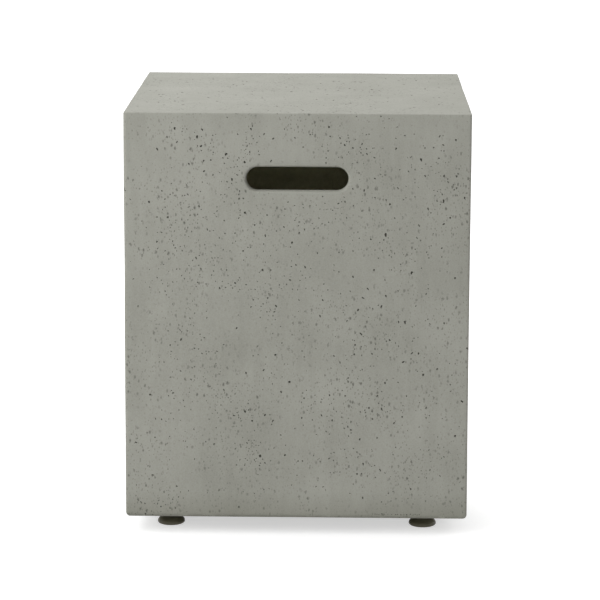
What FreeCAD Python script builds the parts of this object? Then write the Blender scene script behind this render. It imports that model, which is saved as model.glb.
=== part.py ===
import FreeCAD, Part
import math
import os

from FreeCAD import Vector

# Cover table for a 20 lb propane cylinder: an open-bottomed box cast in light concrete,
# lifted by hand slots and standing on four levelling feet that screw into corner blocks.
# Millimetres. Z is up, z = 0 is the floor with the feet screwed home, the front faces -Y.

# Cast shell
base_width = 406.4        # outside, at the bottom rim
side_draft = 1.5          # each outer side leans in by this much from rim to table top
foot_gap = 21.0           # from the floor to the bottom rim
shell_height = 485.0
rim_wall = 11.0           # wall at the bottom rim
head_wall = 13.0          # wall just under the table top
table_top_thickness = 16.0
outer_edge_radius = 3.0   # uprights, table edges and bottom rim alike
core_edge_radius = 18.0   # inner uprights and ceiling

# Hand slots, in line with each other through the front and rear walls
hand_slot_length = 119.0
hand_slot_height = 28.0
hand_slot_drop = 77.0     # from the table top down to the slot's centre line
hand_slot_lip = 3.0       # rounding of the outer edge
hand_slot_arris = 1.5     # chamfer of the inner edge

# Arched notch for the gas hose, in the rear wall
hose_notch_width = 50.0
hose_notch_height = 45.0
hose_notch_arris = 1.2

# Corner blocks, cast apart and bonded in
foot_offset = 152.0       # foot axis from the middle of the table, along X and along Y
block_leg = 105.0         # along each wall
block_end = 8.0           # square ends of the long side
block_height = 40.0
block_arris = 1.5

# Long hexagonal M8 nut, set in the block's underside
across_flats = 13.0       # of the nut and of the stem's spanner collar
nut_length = 24.0
nut_bore_radius = 4.05

# Foot stem: M8 thread, spanner collar, neck and a head that the pad snaps over
thread_radius = 4.0
thread_length = 23.5
collar_height = 6.5
neck_radius = 3.2
head_radius = 6.0
head_thickness = 2.0

# Foot pad: flat disc, undercut inside
pad_radius = 16.5
pad_height = 5.5
pad_sole_thickness = 1.6  # under the stem's head
socket_clearance = 0.08   # running clearance round head and neck
socket_headroom = 0.1     # over the head

rim_height = foot_gap
table_height = foot_gap + shell_height
ceiling_height = table_height - table_top_thickness
base_half = base_width / 2
table_half = base_half - side_draft
core_low_half = base_half - rim_wall
core_high_half = table_half - head_wall
hand_slot_z = table_height - hand_slot_drop

origin = Vector(0, 0, 0)
along_x = Vector(1, 0, 0)
along_y = Vector(0, 1, 0)
up = Vector(0, 0, 1)
slack = Vector(0.01, 0.01, 0.01)
corners = (("rear_right", 0), ("rear_left", 90), ("front_left", 180), ("front_right", 270))


def drafted_box(low_half, high_half, low, high):
    """Square box whose four sides lean in alike."""
    rise = high - low
    wedge = Part.makeWedge(
        -low_half, 0, -low_half, -high_half, -high_half,
        low_half, rise, low_half, high_half, high_half,
    )
    wedge.rotate(origin, along_x, 90)  # the wedge tapers along Y and is stood upright
    wedge.translate(up * low)
    return wedge


def edges_within(shape, low, high):
    """Edges that lie wholly inside the box between two corners."""
    box = FreeCAD.BoundBox(low - slack, high + slack)
    return [edge for edge in shape.Edges if box.isInside(edge.BoundBox)]


def mould_body():
    """What the mould encloses, with every outer edge rounded alike."""
    body = drafted_box(base_half, table_half, rim_height, table_height)
    return body.makeFillet(outer_edge_radius, body.Edges)


def mould_core():
    """The hollow, rounded at its uprights and ceiling and left sharp at the open rim."""
    core = drafted_box(core_low_half, core_high_half, rim_height, ceiling_height)
    above_rim = [edge for edge in core.Edges if edge.BoundBox.ZMax > rim_height + 1]
    return core.makeFillet(core_edge_radius, above_rim)


def hand_slot_cutter():
    """Round-ended bar that opens both hand slots in one pass."""
    end_radius = hand_slot_height / 2
    flat_half = hand_slot_length / 2 - end_radius
    low_left = Vector(-flat_half, -base_half, hand_slot_z - end_radius)
    low_right = Vector(flat_half, -base_half, hand_slot_z - end_radius)
    right_tip = Vector(flat_half + end_radius, -base_half, hand_slot_z)
    high_right = Vector(flat_half, -base_half, hand_slot_z + end_radius)
    high_left = Vector(-flat_half, -base_half, hand_slot_z + end_radius)
    left_tip = Vector(-flat_half - end_radius, -base_half, hand_slot_z)
    outline = Part.Wire([
        Part.makeLine(low_left, low_right),
        Part.Arc(low_right, right_tip, high_right).toShape(),
        Part.makeLine(high_right, high_left),
        Part.Arc(high_left, left_tip, low_left).toShape(),
    ])
    return Part.Face(outline).extrude(along_y * base_width)


def hose_notch_cutter():
    """Round-headed bar that opens the notch at the foot of the rear wall."""
    half = hose_notch_width / 2
    spring = rim_height + hose_notch_height - half
    low_left = Vector(-half, 0, 0)
    low_right = Vector(half, 0, 0)
    spring_right = Vector(half, 0, spring)
    crown = Vector(0, 0, spring + half)
    spring_left = Vector(-half, 0, spring)
    outline = Part.Wire([
        Part.makeLine(low_left, low_right),
        Part.makeLine(low_right, spring_right),
        Part.Arc(spring_right, crown, spring_left).toShape(),
        Part.makeLine(spring_left, low_left),
    ])
    return Part.Face(outline).extrude(along_y * base_half)


def hand_slot_rim(shell, start, end):
    """Edges of a hand slot between two depths, both measured along Y."""
    reach = hand_slot_length / 2
    rise = hand_slot_height / 2
    low = Vector(-reach, min(start, end), hand_slot_z - rise)
    high = Vector(reach, max(start, end), hand_slot_z + rise)
    return edges_within(shell, low, high)


def ease_hand_slot(shell, side):
    """Soft outer lip, where the fingers go in, and a chamfer on the inner edge."""
    wall_middle = side * (table_half + core_high_half) / 2
    outside = side * base_half
    shell = shell.makeFillet(hand_slot_lip, hand_slot_rim(shell, wall_middle, outside))
    return shell.makeChamfer(hand_slot_arris, hand_slot_rim(shell, 0, wall_middle))


def ease_hose_notch(shell):
    """Chamfer all round the notch, inside and out, so that the hose can't chafe."""
    half = hose_notch_width / 2
    low = Vector(-half, 0, rim_height)
    high = Vector(half, base_half, rim_height + hose_notch_height)
    return shell.makeChamfer(hose_notch_arris, edges_within(shell, low, high))


def cover_shell():
    """One-piece casting: four drafted walls and the table top, open below."""
    shell = mould_body().cut(mould_core())
    shell = shell.cut(hand_slot_cutter())
    shell = shell.cut(hose_notch_cutter())
    for side in (-1, 1):
        shell = ease_hand_slot(shell, side)
    return ease_hose_notch(shell)


def foot_point(height):
    """Point on the rear right foot's axis, where the foot pieces are drawn."""
    return Vector(foot_offset, foot_offset, height)


def hexagonal_bar(low, length):
    """Hexagon on the foot's axis, sized across its flats, drawn out upwards."""
    corner_radius = across_flats / math.sqrt(3)
    spoke = along_x * corner_radius
    turn = FreeCAD.Rotation(up, 60)
    outline = []
    for corner in range(6):
        outline.append(foot_point(low) + spoke)
        spoke = turn.multVec(spoke)
    outline.append(outline[0])
    return Part.Face(Part.makePolygon(outline)).extrude(up * length)


def turned(outline):
    """Solid of revolution about the foot's axis, from radius and height pairs."""
    points = [foot_point(height) + along_x * radius for radius, height in outline]
    points.append(points[0])
    return Part.Face(Part.makePolygon(points)).revolve(foot_point(0), up, 360)


def corner_block():
    """Gusset shaped by the two walls it is bonded to, with a blind hexagonal pocket."""
    wall = base_half
    tip = core_low_half - block_leg
    shoulder = core_low_half - block_end
    outline = Part.makePolygon([
        Vector(wall, wall, rim_height),
        Vector(tip, wall, rim_height),
        Vector(tip, shoulder, rim_height),
        Vector(shoulder, tip, rim_height),
        Vector(wall, tip, rim_height),
        Vector(wall, wall, rim_height),
    ])
    block = Part.Face(outline).extrude(up * block_height).common(mould_core())
    low = Vector(tip, tip, rim_height)
    high = Vector(shoulder, shoulder, rim_height + block_height)
    block = block.makeChamfer(block_arris, edges_within(block, low, high))
    return block.cut(hexagonal_bar(rim_height, nut_length))


def coupling_nut():
    """Nut that fills the pocket, flush with the block's underside."""
    bore = Part.makeCylinder(nut_bore_radius, nut_length, foot_point(rim_height))
    return hexagonal_bar(rim_height, nut_length).cut(bore)


def foot_stem():
    """Screw whose collar seats on the nut and whose head sits in the pad."""
    head_top = pad_sole_thickness + head_thickness
    shaft = turned([
        (0, pad_sole_thickness),
        (head_radius, pad_sole_thickness),
        (head_radius, head_top),
        (neck_radius, head_top),
        (neck_radius, rim_height),
        (thread_radius, rim_height),
        (thread_radius, rim_height + thread_length),
        (0, rim_height + thread_length),
    ])
    collar = hexagonal_bar(rim_height - collar_height, collar_height)
    return shaft.fuse(collar).removeSplitter()


def foot_pad():
    """Moulded disc, its socket undercut to hold the stem's head and let it turn."""
    cavity_radius = head_radius + socket_clearance
    mouth_radius = neck_radius + socket_clearance
    cavity_top = pad_sole_thickness + head_thickness + socket_headroom
    return turned([
        (0, 0),
        (pad_radius, 0),
        (pad_radius, pad_height),
        (mouth_radius, pad_height),
        (mouth_radius, cavity_top),
        (cavity_radius, cavity_top),
        (cavity_radius, pad_sole_thickness),
        (0, pad_sole_thickness),
    ])


def export(shape, name):
    shape.exportStep("parts/" + name + ".step")


def main():
    os.makedirs("parts", exist_ok=True)
    export(cover_shell(), "cover_shell")
    corner_parts = {
        "corner_block": corner_block(),
        "coupling_nut": coupling_nut(),
        "foot_stem": foot_stem(),
        "foot_pad": foot_pad(),
    }
    for corner, turn in corners:
        for name, shape in corner_parts.items():
            placed = shape.copy()
            placed.rotate(origin, up, turn)
            export(placed, name + "_" + corner)


main()
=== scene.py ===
import math
import random

import bmesh
import bpy
from mathutils import Matrix, Vector, noise
from mathutils.bvhtree import BVHTree


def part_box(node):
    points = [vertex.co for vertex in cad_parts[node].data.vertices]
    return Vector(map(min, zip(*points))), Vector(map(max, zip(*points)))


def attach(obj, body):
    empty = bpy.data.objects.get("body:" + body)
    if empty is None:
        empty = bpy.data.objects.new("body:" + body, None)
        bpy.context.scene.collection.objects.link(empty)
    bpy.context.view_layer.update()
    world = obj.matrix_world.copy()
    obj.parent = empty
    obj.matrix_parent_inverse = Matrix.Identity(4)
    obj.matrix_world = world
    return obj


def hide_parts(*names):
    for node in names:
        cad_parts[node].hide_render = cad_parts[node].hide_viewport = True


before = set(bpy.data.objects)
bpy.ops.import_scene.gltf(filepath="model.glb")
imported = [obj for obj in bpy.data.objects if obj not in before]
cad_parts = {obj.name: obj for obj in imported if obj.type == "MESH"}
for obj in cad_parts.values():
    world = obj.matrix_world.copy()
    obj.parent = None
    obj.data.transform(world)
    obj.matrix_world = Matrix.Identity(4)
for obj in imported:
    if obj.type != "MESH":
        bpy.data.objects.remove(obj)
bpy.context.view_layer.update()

# Propane tank cover table: a box cast in light concrete, open below, with air voids all over
# it, hand slots front and back, a hose notch behind and four levelling feet on screws.
# Metres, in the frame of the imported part: Z is up, the floor is z = 0 and the front faces -Y.
MM = 0.001

# Cast shell
shell_low, shell_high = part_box("cover_shell")
rim = shell_low.z                # the bottom edge of the walls
table = shell_high.z             # the table top
base_half = shell_high.x         # half the width at the rim
side_draft = 1.5 * MM            # each side leans in by this much up to the table top
rim_wall = 11 * MM
head_wall = 13 * MM
top_thickness = 16 * MM
outer_edge = 3 * MM              # rounding of the uprights
rim_edge = 5 * MM                # the bottom rim, rubbed rounder
table_edge = 1.2 * MM            # the table top's edges, left crisp
core_edge = 18 * MM
slot_length = 119 * MM
slot_height = 28 * MM
slot_centre = table - 77 * MM
slot_lip = 3 * MM
slot_arris = 1.5 * MM
notch_width = 50 * MM
notch_top = rim + 45 * MM
notch_arris = 1.2 * MM
ceiling = table - top_thickness
overrun = 20 * MM                # cutters run past what they cut by this much
slack = 0.1 * MM                 # allowance when edges and faces are picked by their place
hair = 0.001 * MM                # allowance for rounding errors only
margin = 1 * MM                  # from a rounded edge to the first slice beside it

# Surface of the casting
grid_step = 16 * MM              # faces small enough to follow the mould's slight waves
wave_length = 120 * MM
wave_depth = 0.7 * MM
wave_middle = 0.85               # most of the wave goes inwards
lip_wave_length = 28 * MM        # the hand slots' lips are rubbed down by hand
lip_wave_depth = 0.6 * MM
front_tries = 429                # places where a chance void may fall: many stay empty
wall_tries = 1290
top_tries = 570
smallest_void = 0.9 * MM
largest_void = 3.6 * MM
chance_front_void = 1.8 * MM     # the front's larger voids are placed one by one
grain_void = 1.7 * MM            # up to this width a void is cut with a plain grain
void_spacing = 0.78              # least distance of two voids, as a share of both widths

# Levelling feet
foot_offset = 152 * MM
across_flats = 13 * MM
collar_height = 6.5 * MM
thread_radius = 4 * MM
thread_length = 23.5 * MM
thread_pitch = 1.25 * MM
thread_depth = 0.68 * MM
round_sides = 48                 # of round shapes, other than the pads
pad_sides = 64
corners = (("rear_right", 0), ("rear_left", 90), ("front_left", 180), ("front_right", 270))

# Camera, at the photograph's viewing angle
photo_side = 600                 # the photograph is this many pixels wide and high
photo_pixel = 1.2 * MM           # what one of them spans on the front
sensor_width = 36.0
lens = 153.7
camera_place = Vector((53.8, -3137.2, 895.3)) * MM
camera_down = math.radians(11.72)
camera_left = math.radians(0.977)
camera_roll = math.radians(0.229)
camera_turn = (
    Matrix.Rotation(camera_left, 3, "Z")
    @ Matrix.Rotation(math.pi / 2 - camera_down, 3, "X")
    @ Matrix.Rotation(camera_roll, 3, "Z")
)

# Light
white = (1, 1, 1, 1)
surround = 0.42                  # strength of the even light from all round
lamps = (                        # name, place, point aimed at, width, watts
    ("key", (-1.6, -1.2, 2.4), (0, 0, 0.35), 1.5, 28.3),
    ("front", (-1.5, -1.9, 1.5), (0, 0, 0.4), 1.0, 19.5),
    ("overhead", (-0.25, 0.9, 1.15), (-0.05, 0.2, 0.5), 0.7, 3.1),
    ("fill", (1.7, 0.6, 1.4), (0.3, 0, 0.1), 1.2, 10),
)
shadow_middle = (0.015, -0.2, 0)  # where the photograph's shadow on the floor is deepest
share_in, first_in, second_in = 0, 6, 7  # the inputs of a Mix node that mixes two colours
colour_out = 2                   # and its output

# Air voids, read off the photograph, in its pixels: the deepest, the plain, the faint,
# and those of the table top
deep_voids = (
    (157, 149), (175, 128.5), (226.5, 154.5), (245, 162), (232, 179.5), (263, 270), (220, 288),
    (276, 306), (275, 355), (289, 382), (234, 415.5), (245, 411.5), (252, 421), (260, 456),
    (421, 160), (444, 176), (443.5, 201), (385.5, 235), (405, 322.5), (361, 334), (390, 340),
    (418.5, 353.5), (423, 375), (402, 417), (363, 464), (380, 470), (340, 362.5), (382, 409),
    (136, 442), (412, 273), (381.5, 307), (462, 401.5), (245, 213), (197, 137),
)
plain_voids = (
    (177, 142), (167, 137), (202, 129.5), (201, 146), (189, 164), (204, 161), (211, 160),
    (223, 158), (239, 158), (243, 166), (247, 146), (250, 152), (251, 129), (264, 134), (271, 161),
    (273, 138.5), (284.5, 129), (295, 138), (204, 171), (227, 182), (252, 194), (239.5, 191),
    (238.7, 194.5), (239, 198.5), (243.3, 198.4), (162, 191), (173, 193), (188, 194.5), (149, 202),
    (199, 206), (189, 207), (267, 215), (285, 209), (288, 202), (168, 217), (157, 217), (255, 225),
    (284, 227), (235, 233), (157, 242), (215, 245), (196, 258), (263.5, 244), (243, 251),
    (226.5, 270), (296, 265), (290, 280), (235, 283), (133.5, 279), (329, 127), (310, 134.5),
    (340, 138), (345, 145), (353, 148), (396, 138.5), (456, 140), (362, 144), (361, 153),
    (367, 154), (374.5, 157.5), (303, 147), (328, 151), (326, 158), (326, 163), (425, 148),
    (443.5, 145), (411, 157), (448, 182), (349, 187), (398, 188), (454, 190), (465, 198),
    (386, 200), (415, 197), (428, 209), (450, 218), (362, 211), (395, 218), (419, 225.5),
    (443.5, 224), (319, 218), (338.5, 203.5), (345, 202), (371, 239), (442, 248), (353, 251),
    (391.5, 257), (305, 267), (429, 258), (353, 277), (385, 280), (455, 278), (374, 270),
    (138, 306), (251, 307), (268, 298), (267, 312), (180, 330), (204, 338), (181, 339.5),
    (170, 345), (223.5, 344.5), (236.5, 328), (282, 343), (266, 357), (253, 356), (217, 351),
    (202, 353.5), (164, 362), (180.5, 371), (263.5, 370), (170.5, 377), (191, 379.5), (173, 393),
    (150, 394.5), (246, 373), (281, 392), (224, 390), (216, 396), (231, 402), (221, 405),
    (265, 415), (273, 421), (162, 419), (166, 444), (214, 444), (247, 443), (285, 455), (265, 463),
    (153, 475), (149, 479), (177, 486), (219, 490), (239, 507), (141, 502), (363, 298), (368, 289),
    (386, 296), (426, 294), (323, 300), (358, 310), (320, 316), (347, 321), (398.5, 322),
    (444, 323), (355, 345), (354, 354.5), (375, 349), (372, 354), (334, 356), (302, 351),
    (412, 353), (403, 362), (467, 348.5), (437, 369), (348, 378), (385, 383), (329.5, 395),
    (345, 396), (377, 396), (321, 402), (369, 408), (377, 414), (394, 423), (426, 408), (426, 418),
    (302, 418), (351, 422), (348, 426.5), (455, 436), (377, 438), (358, 457), (429, 450),
    (357, 474), (440, 476), (323, 487), (363, 498), (411, 489), (381, 116.5), (396, 148.5),
    (439, 158.5), (425, 176), (385, 175), (375, 178.5), (456.5, 176.5), (390, 204.5), (364, 190.5),
    (433.5, 147.5), (456.5, 188), (353, 189), (431, 213), (304, 398), (321.5, 415.5), (332, 420.5),
    (351, 430), (360, 439.5), (329, 458.5), (312.5, 420), (372.5, 419), (361.5, 473.5),
    (302.5, 461), (299.5, 222), (299, 233), (304.5, 229.5), (314, 228.5), (265.5, 235.5),
    (292, 242.5), (317.5, 253), (339, 252.5), (299, 300),
)
small_voids = (
    (164.9, 199), (174.4, 195.7), (170.2, 194.5), (184.8, 195.3), (196.6, 190), (200.4, 191.5),
    (185, 187.4), (187.8, 183), (202.4, 182), (207.3, 183.2), (171.4, 183.4), (180.2, 202.2),
    (183.6, 203), (186, 200.7), (201.2, 209.5), (234.6, 203), (240.2, 210.2), (246.7, 214),
    (240.2, 215.2), (238.7, 218), (224.2, 201.8), (222.6, 198), (221, 194.7), (216, 193.8),
    (150, 212.5), (162.6, 209.7), (165.2, 207.2), (160.5, 218), (169.5, 220.2), (175.6, 222.8),
    (171.8, 225), (174.4, 231), (146.3, 227.6), (142, 221), (157.4, 232.4), (161.8, 232.4),
    (190, 215.2), (197.8, 219.6), (181.7, 219.8), (187.8, 219.8), (206.4, 216.7), (207, 219.8),
    (217, 206.8), (217, 211), (216.5, 216.7), (214.2, 213.3), (224.2, 220.6), (213.5, 230.5),
    (225, 233.6), (235.6, 241.2), (232.6, 243), (188.7, 236.6), (185, 235), (187.8, 227.8),
    (185, 229), (157.6, 248.5), (169.8, 239.3), (172.5, 241.2), (173.7, 245), (175.3, 248),
    (176.7, 250.8), (173, 253.8), (167.5, 254.2), (165.2, 250.8), (184.4, 245.8), (204.7, 244.7),
    (196.2, 242.7), (223.4, 249.6), (230, 250.8), (248, 247.3), (250.6, 247.2), (246.7, 257.3),
    (199.3, 255.4), (196.5, 260), (192.8, 260.3), (206.2, 262), (215, 258), (218, 257.7),
    (217, 261.3), (222, 258.4), (243.7, 260), (214.2, 265.3), (213.5, 271), (228, 275.6),
    (211.5, 275), (179.8, 269), (176.7, 269), (168.7, 271.4), (158.7, 268.8), (189, 265.3),
    (189.4, 273), (181.7, 275.6), (184.4, 278.7), (192, 280), (157.2, 277.6), (161.4, 280.2),
    (162.6, 283.7), (167.5, 283), (167.7, 286.2), (172.7, 282), (172.5, 291), (150, 287),
    (197.8, 282.5), (196.2, 286.4), (206, 284), (207.3, 286), (222.3, 281.4), (222, 286),
    (218.4, 286.4), (223, 289.8), (235.3, 283), (238.3, 280), (235, 286.2), (232.7, 288),
    (239.5, 277.6), (231, 285.2), (255.2, 289.4), (251, 296), (166.4, 294.8), (159.5, 292),
    (346.2, 305.8), (372.8, 308.7), (368.6, 317.4), (343.3, 312.6), (400.5, 326.7), (425.4, 320.7),
    (428, 319.2), (430, 324), (355.3, 333.2), (368.2, 338), (384.8, 339), (395.6, 343),
    (398.5, 346.2), (355.3, 344.8), (354.5, 349), (352, 355.6), (345.8, 355.4), (365, 345.6),
    (370.3, 353), (377.7, 356.4), (377.7, 349), (375.7, 344), (396.8, 356.8), (411, 359),
    (424.4, 357.8), (417, 362.6), (439.5, 353.5), (418, 337.5), (417.5, 371.3), (416, 370),
    (435.8, 367.6), (449.5, 363.4), (455.3, 363.8), (360.3, 370.5), (352.4, 370.3), (347.5, 378.4),
    (348.3, 382), (357.8, 378.8), (387, 380), (384.5, 383), (398, 382.5), (377.7, 388.7),
    (381.7, 391.6), (450.3, 384.6), (450.3, 391.4), (432, 391.2), (452, 375), (382, 405),
    (390.2, 410.7), (365, 410.3), (360.3, 412), (372.3, 419), (401, 402.8), (403, 405.7),
    (402.6, 412.8), (402.2, 425.2), (419.2, 427), (243.2, 491.6), (254.4, 493.4), (255.5, 500.8),
    (207.3, 492.7), (188.5, 490.7), (192.5, 503.3), (215.8, 506), (136.5, 485), (170, 508),
    (175.4, 508), (396, 498.5), (408, 498.5), (381.5, 502), (391, 501), (425.5, 501), (453, 483),
    (437, 496), (431, 496.3), (384.4, 127.8), (397.2, 127), (348, 135.3), (414.2, 134.2),
    (361.2, 149.4), (383, 148.3), (423.4, 145.7), (444, 151), (415.3, 169.5), (408.4, 171.5),
    (380.7, 174.3), (440.8, 176), (458.2, 173.8), (463.6, 184), (460.7, 186), (406, 186.3),
    (358.3, 187), (434, 190.4), (440.5, 189.8), (406, 197.7), (410, 199), (403.7, 199.6),
    (375, 197.5), (464.8, 198), (440.4, 204.5), (315, 401.6), (327, 416.3), (331, 415.3),
    (329.6, 427), (336.4, 411.6), (356.8, 423.2), (344.3, 428.2), (395.7, 447.2), (353.4, 448.5),
    (298, 461), (346.4, 457.6), (346, 468.8), (297, 475.3), (325.7, 490), (316, 486.6),
    (374.7, 465.5), (371.7, 466.3), (367.5, 476.3), (375.4, 477.3), (291.7, 485), (298.4, 225.7),
    (318.3, 227.8), (325, 225), (322, 223.7), (328.7, 222.2), (303.4, 207.7), (310, 205.8),
    (280.2, 230), (276.5, 231), (284.3, 215.4), (267, 230), (342, 249.8), (330.8, 255.2),
    (270.7, 255.7), (265.3, 262.2), (334, 265), (334, 270.5), (270.7, 270), (284.3, 276),
    (290, 274.2), (300, 280.5), (305.6, 278), (310, 277), (270.7, 278), (279.4, 285), (306, 288.3),
    (313.8, 290.2), (340.7, 293.7), (350.3, 291.2), (350, 236.5), (359.4, 238.2), (358, 232),
    (354, 232.8), (343.2, 222.8),
)
table_voids = (
    (155.6, 79.3), (161, 80.7), (193, 79.3), (189.5, 85), (186.6, 82), (213.6, 79), (228, 86.2),
    (230.2, 87), (233.6, 84.7), (237, 85.8), (243.4, 84.3), (246.8, 81.6), (242.8, 81.2),
    (218.7, 91.6), (223.3, 91.2), (236, 95), (252, 91.6), (252, 94.2), (273.8, 91), (291, 91.6),
    (285.3, 99.8), (265, 100), (159, 94.4), (163, 94.4), (182.6, 92.5), (177.4, 94), (178.5, 97.3),
    (175, 101), (182.6, 101), (194.6, 103), (147, 102), (147.5, 84.3), (150.4, 90.4),
    (164.2, 104.8), (297.4, 106.5), (268, 110.5), (169.4, 99), (137.8, 106), (251, 108.8),
    (286.5, 87), (320.7, 83.5), (333.3, 81.2), (339, 81.6), (343.6, 83.5), (355, 81.8),
    (360.8, 82.4), (364.3, 81.6), (371.7, 89.5), (369, 92), (374, 92), (371.7, 95.4),
    (379.2, 90.4), (355, 90), (349.4, 88.7), (338, 90.4), (310.3, 92), (316.6, 99.6),
    (333.3, 100.2), (327, 94.4), (387.8, 101.6), (387.8, 98), (370.6, 106.5), (375.2, 108.2),
    (346, 104.5), (350.5, 111.9), (355, 112.6), (410.2, 108.2), (414.2, 107.3), (439, 104.5),
    (433.7, 97.7), (439, 97.3), (444, 92.7), (439, 87.2), (438.3, 84), (425.7, 89), (416, 80.4),
    (398.7, 80.7), (402.7, 80), (301, 109.4), (303.4, 110.3),
)
placed_voids = (                 # each kind with its usual width
    (deep_voids, 3.1 * MM), (plain_voids, 2.2 * MM),
    (small_voids, 1.45 * MM), (table_voids, 2.9 * MM),
)
# Voids strung out in rows and chips along the rim: the row's ends in the same pixels, width
void_rows = (
    ((181.5, 128.5), (187.5, 128.8), 1.5 * MM), ((438.9, 136.6), (443.6, 135.3), 1.9 * MM),
    ((366, 134.8), (370, 134.4), 1.7 * MM), ((307.5, 134.6), (313.5, 134.4), 1.6 * MM),
    ((415, 177.8), (415, 183.6), 1.6 * MM), ((411.6, 164), (411.6, 167.5), 1.5 * MM),
    ((372, 148), (375.7, 148), 1.3 * MM), ((297.8, 213.8), (294.5, 221), 1.4 * MM),
    ((318.4, 477.5), (317.8, 481.5), 1.6 * MM), ((205.8, 228.6), (210.4, 231), 1.8 * MM),
    ((323, 210), (333, 208.5), 1.2 * MM), ((334, 208.5), (345, 207), 1.1 * MM),
    ((182, 441), (188, 441), 1.6 * MM), ((156.5, 502.5), (163, 508), 1.7 * MM),
    ((386.5, 494), (394.6, 491), 2.0 * MM), ((144, 514.2), (154, 514.4), 2.4 * MM),
    ((128.5, 513.4), (136, 513.7), 1.6 * MM), ((372, 514.2), (420, 514.8), 1.5 * MM),
)
# Patches where small voids crowd: middle, half width, half height in the same pixels, number
void_patches = (
    (250, 450, 17, 18, 46), (185, 240, 30, 55, 26), (190, 345, 32, 45, 60),
    (248, 143, 10, 20, 30), (205, 142, 18, 16, 22), (232, 172, 14, 16, 16),
    (268, 310, 12, 14, 20), (350, 150, 26, 20, 34), (432, 180, 26, 26, 30),
    (356, 350, 28, 24, 16), (400, 345, 26, 28, 12), (330, 410, 30, 22, 30),
    (385, 415, 22, 18, 12), (245, 412, 18, 14, 18), (225, 400, 16, 20, 18),
    (165, 500, 14, 10, 18), (240, 285, 26, 14, 18), (330, 210, 18, 10, 16),
    (300, 250, 40, 50, 30), (410, 250, 40, 40, 36), (340, 460, 40, 30, 30),
    (430, 440, 26, 40, 30), (180, 430, 35, 40, 34), (280, 360, 30, 40, 30),
)


def colour(hex_code):
    """Linear colour of an sRGB hex code."""
    channels = [int(hex_code[i:i + 2], 16) / 255 for i in (0, 2, 4)]
    linear = [c / 12.92 if c <= 0.04045 else ((c + 0.055) / 1.055) ** 2.4 for c in channels]
    return (*linear, 1.0)


def add_node(tree, kind, inputs=(), result=0, **settings):
    """Add a shader node and give one of its outputs, the first unless another is asked for.
    Its inputs come in the node's own order, or else by name or number, and each takes a
    value or an output. The settings are the node's own."""
    made = tree.nodes.new("ShaderNode" + kind)
    for name, value in settings.items():
        setattr(made, name, value)
    for name, value in inputs.items() if isinstance(inputs, dict) else enumerate(inputs):
        if isinstance(value, bpy.types.NodeSocket):
            tree.links.new(value, made.inputs[name])
        else:
            made.inputs[name].default_value = value
    return made.outputs[result] if made.outputs else None


def new_material(name):
    """Empty node material: itself, its tree and the piece's own coordinates."""
    material = bpy.data.materials.new(name)
    material.use_nodes = True
    tree = material.node_tree
    tree.nodes.clear()
    return material, tree, add_node(tree, "TexCoord", result="Object")


# Modelling helpers

def pick(piece, kind, wanted):
    """Select the vertices, edges or faces that pass a test, and stay in edit mode."""
    if bpy.context.mode != "OBJECT":
        bpy.ops.object.mode_set(mode="OBJECT")
    bpy.ops.object.select_all(action="DESELECT")
    piece.select_set(True)
    bpy.context.view_layer.objects.active = piece
    bpy.ops.object.mode_set(mode="EDIT")
    bpy.ops.mesh.select_mode(type=kind)
    bpy.ops.mesh.select_all(action="DESELECT")
    shape = bmesh.from_edit_mesh(piece.data)
    for part in {"VERT": shape.verts, "EDGE": shape.edges, "FACE": shape.faces}[kind]:
        if wanted(part):
            part.select_set(True)
    shape.select_flush_mode()
    bmesh.update_edit_mesh(piece.data)


def done_editing():
    bpy.ops.object.mode_set(mode="OBJECT")


def finish_modifier(piece, kind, **settings):
    """Add a modifier with its settings and apply it."""
    modifier = piece.modifiers.new(kind.lower(), kind)
    for name, value in settings.items():
        setattr(modifier, name, value)
    bpy.context.view_layer.objects.active = piece
    bpy.ops.object.modifier_apply(modifier=modifier.name)


def named(piece, name):
    piece.name = name
    piece.data.name = name
    return piece


def select_only(pieces):
    bpy.ops.object.select_all(action="DESELECT")
    for piece in pieces:
        piece.select_set(True)
    bpy.context.view_layer.objects.active = pieces[0]


def settle(piece):
    """Move a piece's place, turn and size into its mesh."""
    select_only([piece])
    bpy.ops.object.transform_apply(location=True, rotation=True, scale=True)
    return piece


def joined(pieces, name):
    select_only(pieces)
    bpy.ops.object.join()
    return named(settle(bpy.context.object), name)


def smooth(piece, degrees):
    """Smooth shading, with a crease wherever faces meet at more than the angle."""
    select_only([piece])
    bpy.ops.object.shade_smooth_by_angle(angle=math.radians(degrees))


def copy_of(piece):
    twin = piece.copy()
    twin.data = piece.data.copy()
    bpy.context.scene.collection.objects.link(twin)
    return twin


def cut(piece, cutter, **settings):
    """Take one shape away from another and clear it away."""
    finish_modifier(piece, "BOOLEAN", object=cutter, operation="DIFFERENCE", **settings)
    bpy.data.objects.remove(cutter)


def keep_within(piece, limit):
    """Keep only what lies inside another shape, and clear that away."""
    finish_modifier(piece, "BOOLEAN", object=limit, operation="INTERSECT", solver="EXACT")
    bpy.data.objects.remove(limit)


def round_bar(radius, half_length, centre):
    """Round bar along Y, for cutting through the walls."""
    bpy.ops.mesh.primitive_cylinder_add(
        vertices=round_sides, radius=radius, depth=2 * half_length,
        location=centre, rotation=(math.pi / 2, 0, 0),
    )
    return settle(bpy.context.object)


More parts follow.
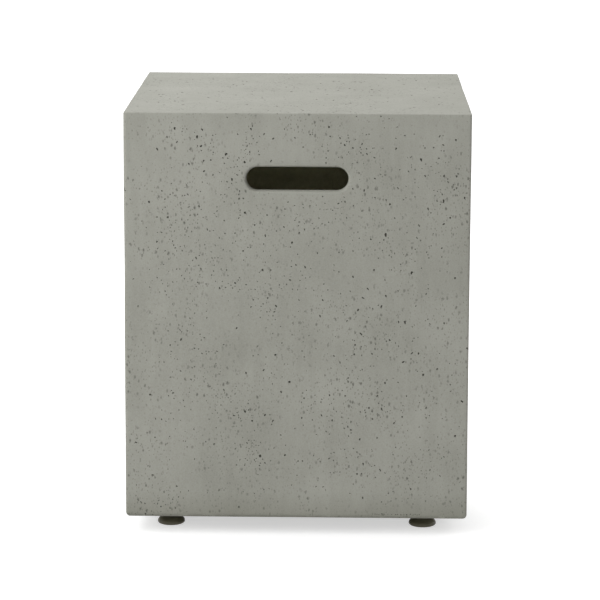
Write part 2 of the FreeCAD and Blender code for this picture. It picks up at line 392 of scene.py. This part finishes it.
def turned(profile, sides, name):
    """Round solid on the rear right foot's axis, drawn up ring by ring from its sole."""
    radius, height = profile[0]
    bpy.ops.mesh.primitive_circle_add(
        vertices=sides, radius=radius, fill_type="NGON",
        location=(foot_offset, foot_offset, height),
    )
    piece = settle(bpy.context.object)
    pick(piece, "FACE", lambda face: True)
    for next_radius, next_height in profile[1:]:
        bpy.ops.mesh.extrude_region_move(
            TRANSFORM_OT_translate={"value": (0, 0, next_height - height)})
        grow = next_radius / radius
        bpy.ops.transform.resize(
            value=(grow, grow, 1), center_override=(foot_offset, foot_offset, next_height))
        radius, height = next_radius, next_height
    bpy.ops.mesh.select_all(action="SELECT")
    bpy.ops.mesh.normals_make_consistent(inside=False)
    done_editing()
    return named(piece, name)


# Cast shell

def half_width(z):
    """Half the outer width at a height, with the draft of the sides."""
    return base_half - side_draft * (z - rim) / (table - rim)


def core_half(z):
    """Half the inner width at a height."""
    low = base_half - rim_wall
    high = base_half - side_draft - head_wall
    return low + (high - low) * (z - rim) / (ceiling - rim)


def drafted_block(half, low, high):
    """Square block between two heights, its half width at a height given by a function."""
    bpy.ops.mesh.primitive_cube_add(size=1, location=(0, 0, (low + high) / 2))
    block = bpy.context.object
    block.scale = (2 * half(low), 2 * half(low), high - low)
    settle(block)
    pick(block, "FACE", lambda face: face.normal.z > 0.5)
    lean = half(high) / half(low)
    bpy.ops.transform.resize(value=(lean, lean, 1), center_override=(0, 0, high))
    done_editing()
    return block


def mould_core():
    """The hollow, rounded at its uprights and ceiling, and run out below the rim."""
    core = drafted_block(core_half, rim - overrun, ceiling)
    pick(core, "EDGE", lambda edge: max(v.co.z for v in edge.verts) > rim)
    bpy.ops.mesh.bevel(offset=core_edge, segments=8)
    done_editing()
    return core


def is_outer(vertex, depth):
    """Within a small depth of the outer surface, sides or top."""
    x, y, z = vertex.co
    reach = half_width(z) - depth
    return abs(x) > reach or abs(y) > reach or z > table - depth


def slot_bar():
    """Long bar, round-ended in section, through the front and rear walls."""
    end_radius = slot_height / 2
    bar = round_bar(end_radius, base_half + overrun, (0, 0, slot_centre))
    spread = slot_length / 2 - end_radius
    for side in (-1, 1):
        pick(bar, "VERT", lambda v: v.co.x * side > hair)
        bpy.ops.transform.translate(value=(side * spread, 0, 0))
    done_editing()
    return bar


def notch_bar():
    """Arched bar through the rear wall only."""
    radius = notch_width / 2
    spring = notch_top - radius
    reach = 50 * MM  # to either side of the wall's face
    bar = round_bar(radius, reach, (0, base_half, spring))
    pick(bar, "VERT", lambda v: v.co.z < spring - hair)
    bpy.ops.transform.resize(value=(1, 1, 0), center_override=(0, 0, rim - overrun))
    done_editing()
    return bar


def in_slot(vertex):
    x, _, z = vertex.co
    return abs(x) < slot_length / 2 + slack and abs(z - slot_centre) < slot_height / 2 + slack


def slot_outer_edge(edge):
    return all(in_slot(v) and abs(v.co.y) > half_width(v.co.z) - 2 * slack for v in edge.verts)


def slot_inner_edge(edge):
    return all(in_slot(v) and base_half / 2 < abs(v.co.y) < core_half(v.co.z) + 2 * slack
               for v in edge.verts)


def notch_edge(edge):
    """Part of the notch's outline on the inner or outer side of the wall."""
    radius = notch_width / 2
    spring = notch_top - radius
    for v in edge.verts:
        x, y, z = v.co
        if y < 0 or z > notch_top + slack:
            return False
        off = abs(x) if z < spring else math.hypot(x, z - spring)
        if abs(off - radius) > 3 * slack:
            return False
    start, end = (v.co for v in edge.verts)
    across_wall = abs(start.y - end.y) > rim_wall / 2
    return not across_wall and (start - end).length > slack / 2


def lay_grid(shell):
    """Slice the faces into a grid, closer by the edges so that these stay crisp."""
    pick(shell, "FACE", lambda face: True)
    count = int(base_half / grid_step)
    across = [k * grid_step for k in range(-count, count + 1)]
    across += [side * (base_half - side_draft - outer_edge - margin) for side in (-1, 1)]
    levels = [rim + k * grid_step for k in range(1, int((table - rim) / grid_step))]
    levels += [rim + rim_edge + margin, table - outer_edge - margin]
    for axis, places in ((0, across), (1, across), (2, levels)):
        for place in places:
            point, normal = Vector(), Vector()
            point[axis], normal[axis] = place, 1
            bpy.ops.mesh.select_all(action="SELECT")
            bpy.ops.mesh.bisect(plane_co=point, plane_no=normal)
    done_editing()


def wave(shell, skin, length, depth):
    """Dent the picked vertices inwards by slow waves."""
    group = shell.vertex_groups.new(name="skin")
    group.add([v.index for v in shell.data.vertices if skin(v)], 1.0, "REPLACE")
    clouds = bpy.data.textures.new("mould_waves", "CLOUDS")
    clouds.noise_scale = length
    finish_modifier(
        shell, "DISPLACE", texture=clouds, texture_coords="LOCAL", direction="NORMAL",
        strength=depth, mid_level=wave_middle, vertex_group=group.name)
    shell.vertex_groups.clear()


def is_level(edge, low, high):
    """Runs from one height to another."""
    ends = sorted(v.co.z for v in edge.verts)
    return abs(ends[0] - low) < hair and abs(ends[1] - high) < hair


def cast_shell():
    """Walls and table top in one pour: drafted, cored, and eased at every opening."""
    shell = drafted_block(half_width, rim, table)
    edges = ((outer_edge, rim, table), (rim_edge, rim, rim), (table_edge, table, table))
    for width, low, high in edges:
        pick(shell, "EDGE", lambda edge: is_level(edge, low, high))
        bpy.ops.transform.edge_bevelweight(value=width / rim_edge)
    done_editing()
    finish_modifier(
        shell, "BEVEL", width=rim_edge, segments=5, limit_method="WEIGHT",
        use_clamp_overlap=False)
    cut(shell, mould_core(), solver="MANIFOLD")
    cut(shell, slot_bar(), solver="MANIFOLD")
    cut(shell, notch_bar(), solver="MANIFOLD")
    pick(shell, "EDGE", slot_outer_edge)
    bpy.ops.mesh.bevel(offset=slot_lip, segments=4)
    pick(shell, "EDGE", slot_inner_edge)
    bpy.ops.mesh.bevel(offset=slot_arris, segments=1)
    pick(shell, "EDGE", notch_edge)
    bpy.ops.mesh.bevel(offset=notch_arris, segments=1)
    done_editing()
    lay_grid(shell)
    wave(shell, lambda v: is_outer(v, outer_edge + 2 * slack), wave_length, wave_depth)
    wave(shell, lambda v: in_slot_mouth(v.co), lip_wave_length, lip_wave_depth)
    return named(shell, "cast_shell")


def in_slot_mouth(place):
    """Near the lips of a hand slot."""
    x, y, z = place
    reach = slot_lip + margin
    return (abs(x) < slot_length / 2 + reach and abs(z - slot_centre) < slot_height / 2 + reach
            and abs(y) > half_width(z) - reach)


def on_back(face):
    """On the inner surface, which no mould touched."""
    x, y, z = face.center
    reach = core_half(z) + 3 * slack
    return rim + 2 * slack < z < ceiling + 3 * slack and abs(x) < reach and abs(y) < reach


# Air voids

def photo_ray(x, y):
    """Direction from the camera through a pixel of the photograph."""
    across = (x - photo_side / 2) / photo_side * sensor_width / lens
    down = (y - photo_side / 2) / photo_side * sensor_width / lens
    return (camera_turn @ Vector((across, -down, -1))).normalized()


def void_shapes():
    """Six uneven pebbles, about one across, that the larger voids are stretched copies of."""
    rng = random.Random(3)
    pebbles = []
    for _ in range(6):
        bpy.ops.mesh.primitive_uv_sphere_add(
            segments=7, ring_count=5, radius=0.5, rotation=(math.pi / 2, 0, 0))
        pebble = settle(bpy.context.object)
        for level in (-0.4, -0.15, 0.15, 0.4):
            pick(pebble, "VERT", lambda v: abs(v.co.y - level) < 0.05)
            swell = rng.uniform(0.6, 1.25)
            bpy.ops.transform.resize(
                value=(swell, 1, rng.uniform(0.8, 1.1)), center_override=(0, level, 0))
            bpy.ops.transform.translate(
                value=(rng.uniform(-0.2, 0.2), rng.uniform(-0.05, 0.05), rng.uniform(-0.05, 0.05)))
        done_editing()
        pebbles.append(pebble)
    return pebbles


def grain_shape():
    """A rough grain with few faces, one across, for the smallest voids."""
    bpy.ops.mesh.primitive_ico_sphere_add(subdivisions=1, radius=0.5)
    return bpy.context.object


def photo_voids(skin):
    """Voids at their places in the photograph: place, outward direction and width."""
    rng = random.Random(11)
    marks = []
    for spots, width in placed_voids:
        marks += [(x, y, width * rng.uniform(0.75, 1.25)) for x, y in spots]
    for (x, y), (far_x, far_y), width in void_rows:
        length = math.hypot(far_x - x, far_y - y) * photo_pixel
        steps = max(2, round(length / (1.5 * width)))
        for step in range(steps):
            share = (step + rng.uniform(0.2, 0.8)) / steps
            marks.append((
                x + share * (far_x - x), y + share * (far_y - y) + rng.uniform(-0.4, 0.4),
                width * rng.uniform(0.7, 1.2)))
    for x, y, half_wide, half_high, number in void_patches:
        for _ in range(number):
            marks.append((rng.gauss(x, half_wide * 0.6), rng.gauss(y, half_high * 0.6),
                          rng.uniform(1.0, 1.8) * MM))
    found = []
    for x, y, width in marks:
        place, normal, _, _ = skin.ray_cast(camera_place, photo_ray(x, y))
        found.append((place, normal, width))
    return found


def chance_voids(skin):
    """Voids scattered over the walls and the top, crowded in some places and few in others."""
    rng = random.Random(23)
    found = []
    for side, number in enumerate((front_tries, wall_tries, wall_tries, wall_tries, top_tries)):
        on_front, on_top = side == 0, side == 4
        turn = Matrix.Rotation(math.pi / 2 * side, 3, "Z")
        for _ in range(number):
            across = rng.uniform(-base_half, base_half)
            if on_top:
                start = Vector((across, rng.uniform(-base_half, base_half), 1))
                ahead = Vector((0, 0, -1))
            else:
                start = turn @ Vector((across, -1, rng.uniform(rim, table)))
                ahead = turn @ Vector((0, 1, 0))
            # from none to nearly all are used, in clouds about 7 cm across
            crowd = 0.45 + 1.1 * noise.noise(start * 14)
            place, normal, _, _ = skin.ray_cast(start, ahead)
            if place is None or rng.random() > crowd:
                continue
            spread = rng.random() ** (7 if on_front else 4)  # most are small
            width = smallest_void + (largest_void - smallest_void) * spread
            if on_front:
                width = min(width, chance_front_void)
            found.append((place, normal, width))
    return found


def roomy(voids):
    """Leave out voids that would run into one before them or miss the outer skin."""
    kept = []
    cells = {}
    cell_size = 5 * MM  # about as far as two touching voids can lie apart
    for place, normal, width in voids:
        if place is None or not is_skin(place) or in_slot_mouth(place):
            continue
        cell = tuple(int(c // cell_size) for c in place)
        near = [other for dx in (-1, 0, 1) for dy in (-1, 0, 1) for dz in (-1, 0, 1)
                for other in cells.get((cell[0] + dx, cell[1] + dy, cell[2] + dz), ())]
        if any((place - spot).length < void_spacing * (width + size) for spot, size in near):
            continue
        cells.setdefault(cell, []).append((place, width))
        kept.append((place, normal, width))
    return kept


def is_skin(place):
    x, y, z = place
    reach = half_width(z) - outer_edge - wave_depth
    return z > rim and (abs(x) > reach or abs(y) > reach or z > table - outer_edge - wave_depth)


def void_cutters(shell):
    """Everything that the voids take out of the shell, as one shape."""
    skin = BVHTree.FromObject(shell, bpy.context.evaluated_depsgraph_get())
    pebbles, grain = void_shapes(), grain_shape()
    rng = random.Random(7)
    cutters = []
    for place, normal, width in roomy(photo_voids(skin) + chance_voids(skin)):
        cutter = copy_of(rng.choice(pebbles) if width > grain_void else grain)
        turn = normal.to_track_quat("Z", "Y").to_matrix().to_4x4()
        spin = Matrix.Rotation(rng.gauss(0, 0.6), 4, "Z")
        tip = Matrix.Rotation(rng.uniform(-0.4, 0.4), 4, "X")
        long = rng.uniform(1.0, 1.5)
        size = Matrix.Diagonal((width / long, width * long, width * rng.uniform(0.7, 1.1), 1))
        sunk = place - normal * width * rng.uniform(0.05, 0.2)
        cutter.matrix_world = Matrix.Translation(sunk) @ turn @ spin @ tip @ size
        cutters.append(cutter)
    for shape in (*pebbles, grain):
        bpy.data.objects.remove(shape)
    return joined(cutters, "voids")


# Levelling feet, each modelled on the rear right foot's axis

def foot_pad():
    """Moulded disc: flat sole, round rim, deep dome and the socket's hub round the neck."""
    profile = (  # radius and height in millimetres, up the outside and down into the socket
        (14.2, 0.0), (15.4, 0.3), (16.1, 0.9), (16.5, 1.8), (16.45, 2.7), (16.2, 3.6),
        (15.7, 4.6), (14.9, 5.6), (13.8, 6.5), (12.3, 7.3), (10.2, 8.0), (7.8, 8.6),
        (6.3, 9.2), (5.5, 10.0), (5.1, 10.8), (4.7, 11.4), (4.1, 11.5), (3.5, 11.4),
        (3.28, 11.0), (3.28, 3.7), (6.08, 3.7), (6.08, 1.6),
    )
    pad = turned([(r * MM, z * MM) for r, z in profile], pad_sides, "foot_pad")
    smooth(pad, 40)
    return pad


def stem_head():
    """Head that the pad snaps over, and the neck, which runs a little up into the collar."""
    neck_end = (rim - collar_height) / MM + 0.5
    profile = (  # radius and height in millimetres
        (5.4, 1.6), (6.0, 2.0), (6.0, 3.2), (5.6, 3.6), (3.5, 3.6), (3.2, 3.9), (3.2, neck_end),
    )
    return turned([(r * MM, z * MM) for r, z in profile], round_sides, "stem_head")


def stem_collar():
    """Hexagon for the spanner, its corners chamfered top and bottom."""
    low = rim - collar_height
    corner_radius = across_flats / math.sqrt(3)
    bpy.ops.mesh.primitive_cylinder_add(
        vertices=6, radius=corner_radius, depth=collar_height,
        location=(foot_offset, foot_offset, low + collar_height / 2),
        rotation=(0, 0, math.radians(30)))
    collar = settle(bpy.context.object)
    end_radius = across_flats / 2 - 0.2 * MM
    full_radius = corner_radius + 0.05 * MM
    chamfer = 0.75 * MM
    limit = turned([
        (end_radius, low), (full_radius, low + chamfer),
        (full_radius, rim - chamfer), (end_radius, rim)], round_sides, "collar_limit")
    keep_within(collar, limit)
    return collar


def stem_thread():
    """Right-hand metric thread with a chamfer at its upper end."""
    root = thread_radius - thread_depth
    flat = thread_pitch / 8
    flank = (thread_pitch - 3 * flat) / 2
    bpy.ops.mesh.primitive_plane_add(size=1 * MM, location=(0, 0, 0))
    rod = bpy.context.object
    # the plane's outline, opened on its left and drawn on by one point, becomes a turn's profile
    pick(rod, "FACE", lambda face: True)
    bpy.ops.mesh.delete(type="ONLY_FACE")
    pick(rod, "EDGE", lambda edge: all(v.co.x < 0 for v in edge.verts))
    bpy.ops.mesh.delete(type="EDGE")
    shape = bmesh.from_edit_mesh(rod.data)
    low_left, low_right, high_left, high_right = shape.verts
    low_left.co = (root, 0, 0)
    low_right.co = (thread_radius, 0, flank)
    high_right.co = (thread_radius, 0, flank + flat)
    high_left.co = (root, 0, 2 * flank + flat)
    top = shape.verts.new((root, 0, thread_pitch))
    shape.edges.new((high_left, top))
    bmesh.update_edit_mesh(rod.data)
    done_editing()
    weld = 0.01 * MM
    finish_modifier(
        rod, "SCREW", axis="Z", angle=2 * math.pi, screw_offset=thread_pitch,
        iterations=int(thread_length / thread_pitch) + 6, steps=24, render_steps=24,
        use_merge_vertices=True, merge_threshold=weld, use_smooth_shade=False)
    pick(rod, "VERT", lambda v: True)
    bpy.ops.mesh.remove_doubles(threshold=weld)
    pick(rod, "EDGE", lambda edge: edge.is_boundary)
    bpy.ops.mesh.edge_face_add()
    bpy.ops.mesh.select_all(action="SELECT")
    bpy.ops.mesh.normals_make_consistent(inside=False)
    done_editing()
    rod.location = (foot_offset, foot_offset, rim - 3 * thread_pitch)
    settle(rod)
    full_radius = thread_radius + 0.3 * MM
    end_radius = thread_radius - 0.9 * MM
    top_end = rim + thread_length
    chamfer = 1.2 * MM
    limit = turned([
        (full_radius, rim - 0.5 * MM), (full_radius, top_end - chamfer), (end_radius, top_end)],
        round_sides, "thread_limit")
    keep_within(rod, limit)
    return rod


def foot_stem():
    stem = joined([stem_head(), stem_collar(), stem_thread()], "foot_stem")
    smooth(stem, 32)
    return stem


def at_corners(piece, name, material, body):
    """Copy a foot piece to the four corners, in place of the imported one."""
    piece.data.materials.append(material)
    for corner, turn in corners:
        twin = copy_of(piece)
        twin.matrix_world = Matrix.Rotation(math.radians(turn), 4, "Z")
        settle(named(twin, name + "_" + corner))
        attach(twin, body + "_" + corner)
        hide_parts(piece.name + "_" + corner)
    bpy.data.objects.remove(piece)


# Materials

def total(tree, parts):
    """Sum of several values."""
    running = parts[0]
    for part in parts[1:]:
        running = add_node(tree, "Math", (running, part), operation="ADD")
    return running


def tone(tree, place, size, amount, detail=2.0, stretch=(1, 1, 1)):
    """Cloudy pattern of a real size, as an offset either way from zero."""
    spread = add_node(tree, "Mapping", {"Vector": place, "Scale": stretch})
    cloud = add_node(tree, "TexNoise", {
        "Vector": spread, "Scale": 1 / size, "Detail": detail, "Roughness": 0.55})
    return add_node(tree, "Math", (total(tree, [cloud, -0.5]), amount), operation="MULTIPLY")


def shaded(tree, offset, dark, pale):
    """Colour between two, half way at an offset of zero."""
    share = add_node(tree, "Math", (offset, 0.5), operation="ADD", use_clamp=True)
    return add_node(tree, "Mix", {
        share_in: share, first_in: colour(dark), second_in: colour(pale)
    }, colour_out, data_type="RGBA")


def dots(tree, place, spacing, radius, soft):
    """Round spots about so far apart: 1 in a spot, 0 outside it."""
    away = add_node(tree, "TexVoronoi", {"Vector": place, "Scale": 1 / spacing}, "Distance")
    return add_node(tree, "MapRange", (
        away, radius / spacing, (radius + soft) / spacing, 1.0, 0.0))


def stirred(tree, place, size, amount):
    """A place moved about by a pattern of a real size, and squeezed so that spots stand tall."""
    cloud = add_node(tree, "TexNoise", {
        "Vector": place, "Scale": 1 / size, "Detail": 1.0}, "Color")
    centred = add_node(tree, "VectorMath", (cloud, (-0.5, -0.5, -0.5)), operation="ADD")
    shift = add_node(tree, "VectorMath", {0: centred, "Scale": amount}, operation="SCALE")
    moved = add_node(tree, "VectorMath", (place, shift), operation="ADD")
    return add_node(tree, "Mapping", {"Vector": moved, "Scale": (1, 1, 0.6)})


def moulded_concrete():
    """Light glass-fibre concrete, off a smooth mould: a matt, faintly cloudy grey with long
    pale streaks where the mix ran down, a skin peppered with pinholes whose shade is painted
    in as dark spots, a darker band low down that is painted shade near the floor, and a rim
    scuffed pale in places where it was set down."""
    material, tree, place = new_material("moulded_concrete")
    shade = total(tree, [
        tone(tree, place, 240 * MM, 0.55, 2.0),
        tone(tree, place, 55 * MM, 0.5, 3.0),
        tone(tree, place, 9 * MM, 0.35, 3.0, (1, 1, 0.16)),
        tone(tree, place, 1.6 * MM, 0.5, 2.0),
    ])
    level = add_node(tree, "SeparateXYZ", (place,), "Z")
    # painted shade: darker towards the rim, where less light reaches near the floor
    low_painted_shade = add_node(tree, "MapRange", (level, rim, rim + 32 * MM, 0.36, 0.0))
    at_rim = add_node(tree, "MapRange", (level, rim + 1 * MM, rim + 5 * MM, 1.0, 0.0))
    rubbed = add_node(tree, "MapRange", (
        tone(tree, place, 22 * MM, 1.0, 4.0), 0.06, 0.16, 0.0, 0.55))
    scuff = add_node(tree, "Math", (at_rim, rubbed), operation="MULTIPLY")
    crowd = add_node(tree, "MapRange", (
        tone(tree, place, 45 * MM, 1.0, 1.0), -0.12, 0.14, 0.2, 0.85))
    # pinholes: the dark spots are painted shade for holes with no shape of their own; the bump
    # below also sinks the coarse ones
    uneven = stirred(tree, place, 2.6 * MM, 2.2 * MM)
    fine = dots(tree, uneven, 3.0 * MM, 0.2 * MM, 0.7 * MM)
    fine = add_node(tree, "Math", (fine, crowd), operation="MULTIPLY")
    coarse = dots(tree, uneven, 6.5 * MM, 0.5 * MM, 1.1 * MM)
    coarse = add_node(tree, "Math", (coarse, crowd), operation="MULTIPLY")
    skin = shaded(tree, shade, "8c8c82", "b0b0a7")
    for share, code in (
            (low_painted_shade, "70705f"), (scuff, "cfcfc2"), (fine, "6f6f67"), (coarse, "5a5a52")):
        skin = add_node(tree, "Mix", {
            share_in: share, first_in: skin, second_in: colour(code)
        }, colour_out, data_type="RGBA")
    height = total(tree, [
        tone(tree, place, 1.6 * MM, 0.06, 3.0), tone(tree, place, 14 * MM, 0.25, 2.0),
        add_node(tree, "Math", (coarse, -0.4), operation="MULTIPLY")])
    relief = add_node(tree, "Bump", {
        "Height": height, "Strength": 0.5, "Distance": 0.5 * MM})
    surface = add_node(tree, "BsdfPrincipled", {
        "Base Color": skin, "Roughness": 0.82, "IOR": 1.5, "Normal": relief})
    add_node(tree, "OutputMaterial", (surface,))
    return material


def void_wall_dust_and_shade():
    """Inside of an air void: rough, and darker with settled dust and painted shade."""
    material, tree, place = new_material("void_wall_dust_and_shade")
    # settled dust and painted shade: darker than the skin, so that the voids read deep
    dust_and_shade = shaded(tree, tone(tree, place, 4 * MM, 1.6, 2.0), "45453d", "66665c")
    surface = add_node(tree, "BsdfPrincipled", {
        "Base Color": dust_and_shade, "Roughness": 0.95, "IOR": 1.5})
    add_node(tree, "OutputMaterial", (surface,))
    return material


def sprayed_back():
    """Inner face, sprayed and rolled against no mould: rough, with short fibres lying in it."""
    material, tree, place = new_material("sprayed_back")
    shade = total(tree, [
        tone(tree, place, 70 * MM, 0.9, 3.0), tone(tree, place, 5 * MM, 0.8, 3.0)])
    # painted light: far paler than the mix outside, so that the dim inside of the cover reads
    # lighter
    rough = shaded(tree, shade, "cfccb2", "ece9d0")
    # bands about 18 mm apart, before they are bent over one another
    fibre = add_node(tree, "TexWave", {
        "Vector": place, "Scale": 1 / (56.52 * MM), "Distortion": 22.0, "Detail": 2.0,
        "Detail Scale": 1.6}, "Fac")
    height = total(tree, [
        tone(tree, place, 6 * MM, 1.0, 4.0),
        add_node(tree, "Math", (fibre, 0.25), operation="MULTIPLY")])
    relief = add_node(tree, "Bump", {
        "Height": height, "Strength": 0.8, "Distance": 1.2 * MM})
    surface = add_node(tree, "BsdfPrincipled", {
        "Base Color": rough, "Roughness": 0.92, "IOR": 1.5, "Normal": relief})
    add_node(tree, "OutputMaterial", (surface,))
    return material


def trowelled_concrete():
    """Gusset blocks of the same mix, struck off with a trowel: coarser, with drag marks."""
    material, tree, place = new_material("trowelled_concrete")
    shade = total(tree, [
        tone(tree, place, 30 * MM, 0.8, 3.0), tone(tree, place, 2.4 * MM, 0.7, 3.0)])
    # small holes: the dark spots are painted shade, and the bump below sinks them
    holes = dots(tree, place, 6 * MM, 0.7 * MM, 0.4 * MM)
    body = add_node(tree, "Mix", {
        share_in: holes, first_in: shaded(tree, shade, "93938a", "b6b6ad"),
        second_in: colour("4e4e46")}, colour_out, data_type="RGBA")
    height = total(tree, [
        tone(tree, place, 2.4 * MM, 0.5, 3.0),
        tone(tree, place, 11 * MM, 0.6, 2.0, (1, 0.3, 1)),
        add_node(tree, "Math", (holes, -0.8), operation="MULTIPLY")])
    relief = add_node(tree, "Bump", {
        "Height": height, "Strength": 0.7, "Distance": 0.9 * MM})
    surface = add_node(tree, "BsdfPrincipled", {
        "Base Color": body, "Roughness": 0.88, "IOR": 1.5, "Normal": relief})
    add_node(tree, "OutputMaterial", (surface,))
    return material


def zinc_plated_steel():
    """Bright zinc on turned steel: pale blue-grey metal, a little clouded where it was dipped."""
    material, tree, place = new_material("zinc_plated_steel")
    plate = shaded(tree, tone(tree, place, 3 * MM, 1.4, 3.0), "a6a9ab", "c9ccce")
    worn = total(tree, [tone(tree, place, 2 * MM, 0.3, 3.0), 0.36])
    surface = add_node(tree, "BsdfPrincipled", {
        "Base Color": plate, "Metallic": 1.0, "Roughness": worn})
    add_node(tree, "OutputMaterial", (surface,))
    return material


def nylon_with_painted_light():
    """Moulded nylon pad: dark olive brown, satin, with cloudy handling marks, and paler as painted
    light.
    """
    material, tree, place = new_material("nylon_with_painted_light")
    # painted light: paler than the nylon itself, standing in for light that hardly reaches under
    # the cover
    body = shaded(tree, tone(tree, place, 5 * MM, 1.2, 3.0), "5f5c47", "726e58")
    gloss = total(tree, [tone(tree, place, 2 * MM, 0.25, 3.0), 0.5])
    relief = add_node(tree, "Bump", {
        "Height": tone(tree, place, 0.9 * MM, 1.0, 2.0), "Strength": 0.25,
        "Distance": 0.1 * MM})
    surface = add_node(tree, "BsdfPrincipled", {
        "Base Color": body, "Roughness": gloss, "IOR": 1.53, "Normal": relief})
    add_node(tree, "OutputMaterial", (surface,))
    return material


# Camera, light and floor

def set_camera():
    data = bpy.data.cameras.new("camera")
    data.sensor_width = sensor_width
    data.lens = lens
    data.clip_end = 50
    camera = bpy.data.objects.new("camera", data)
    camera.matrix_world = Matrix.Translation(camera_place) @ camera_turn.to_4x4()
    bpy.context.scene.collection.objects.link(camera)
    bpy.context.scene.camera = camera


def seen_directly(tree):
    """1 for what the camera sees, also in metal or through glass, and 0 for light."""
    path = add_node(tree, "LightPath").node.outputs
    shown = add_node(tree, "Math", (
        path["Is Camera Ray"], path["Is Glossy Ray"]), operation="MAXIMUM")
    return add_node(tree, "Math", (shown, path["Is Transmission Ray"]), operation="MAXIMUM")


def set_world():
    """Even light from all round, behind a white background."""
    world = bpy.data.worlds.new("studio")
    bpy.context.scene.world = world
    world.use_nodes = True
    tree = world.node_tree
    tree.nodes.clear()
    soft = add_node(tree, "Background", {"Color": white, "Strength": surround})
    bright = add_node(tree, "Background", {"Color": white, "Strength": 1.0})
    either = add_node(tree, "MixShader", (seen_directly(tree), soft, bright))
    add_node(tree, "OutputWorld", (either,))


def floor_glow_and_painted_shadow(tree, place):
    """How much the floor is lifted towards white where it is seen directly, as a painted shadow:
    least in the middle of the photograph's shadow, more all round it, and hardly at all under
    the cover, which paints the shade inside it."""
    away = add_node(tree, "VectorMath", (place, shadow_middle), "Value", operation="DISTANCE")
    shadow_reach, open_floor = 0.17, 0.26
    near = add_node(tree, "MapRange", (away, shadow_reach, open_floor, 0.545, 0.78))
    far = add_node(tree, "MapRange", (away, open_floor, 1.2, 0.0, 0.25))
    forward = add_node(tree, "SeparateXYZ", (place,), "Y")
    front = add_node(tree, "MapRange", (forward, -0.19, -0.125, 0.045, 0.0))
    # painted shade under the cover, but not where the photograph looks in below the front wall
    shifted = add_node(tree, "Mapping", {
        "Vector": place, "Location": (0, -0.036, 0), "Scale": (1, 1.2, 1)})
    both_ways = add_node(tree, "VectorMath", (shifted,), operation="ABSOLUTE")
    sides = add_node(tree, "SeparateXYZ", (both_ways,)).node.outputs
    reach = add_node(tree, "Math", (sides["X"], sides["Y"]), operation="MAXIMUM")
    under = add_node(tree, "MapRange", (reach, 0.15, 0.19, 0.08, 1.0))
    glow = total(tree, [near, far, front])
    return add_node(tree, "Math", (glow, under), operation="MULTIPLY")


def pale_floor():
    """White paper sweep: matt, keeps the shadow, clear from below, glows with painted light."""
    material, tree, place = new_material("white_paper")
    matt = add_node(tree, "BsdfDiffuse", {"Color": colour("d6d6d6")})
    paper = add_node(tree, "BsdfDiffuse", {"Color": colour("d0d0d0")})
    glow = add_node(tree, "Emission", {"Color": white, "Strength": floor_glow_and_painted_shadow(tree, place)})
    lifted = add_node(tree, "AddShader", (paper, glow))
    top = add_node(tree, "MixShader", (seen_directly(tree), matt, lifted))
    from_below = add_node(tree, "NewGeometry", result="Backfacing")
    both = add_node(tree, "MixShader", (from_below, top, add_node(tree, "BsdfTransparent")))
    add_node(tree, "OutputMaterial", (both,))
    bpy.ops.mesh.primitive_plane_add(size=30, location=(0, 0, 0))
    floor = named(bpy.context.object, "floor")
    floor.data.materials.append(material)


def soft_box(name, place, aim, wide, power):
    """Square studio lamp at a place, turned to a point."""
    data = bpy.data.lights.new(name, "AREA")
    data.size = wide
    data.energy = power
    lamp = bpy.data.objects.new(name, data)
    lamp.location = place
    lamp.rotation_euler = (Vector(aim) - Vector(place)).to_track_quat("-Z", "Y").to_euler()
    lamp.visible_camera = False
    bpy.context.scene.collection.objects.link(lamp)


# The scene

set_camera()
set_world()
pale_floor()
for lamp in lamps:
    soft_box(*lamp)

concrete, void, back = moulded_concrete(), void_wall_dust_and_shade(), sprayed_back()
shell = cast_shell()
shell.data.materials.clear()
for material in (concrete, void, back):
    shell.data.materials.append(material)
for face in shell.data.polygons:
    face.material_index = 2 if on_back(face) else 0
voids = void_cutters(shell)
for material in (concrete, void):
    voids.data.materials.append(material)
for face in voids.data.polygons:
    face.material_index = 1
cut(shell, voids, solver="MANIFOLD", material_mode="TRANSFER")
smooth(shell, 50)
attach(shell, "cover")
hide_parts("cover_shell")

zinc = zinc_plated_steel()
at_corners(foot_pad(), "levelling_pad", nylon_with_painted_light(), "pad")
at_corners(foot_stem(), "levelling_stem", zinc, "stem")
block_mix = trowelled_concrete()
for corner, _ in corners:
    for node, finish in (("corner_block_", block_mix), ("coupling_nut_", zinc)):
        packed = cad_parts[node + corner]
        packed.data.materials.clear()
        packed.data.materials.append(finish)

bpy.context.scene.view_settings.view_transform = "Standard"
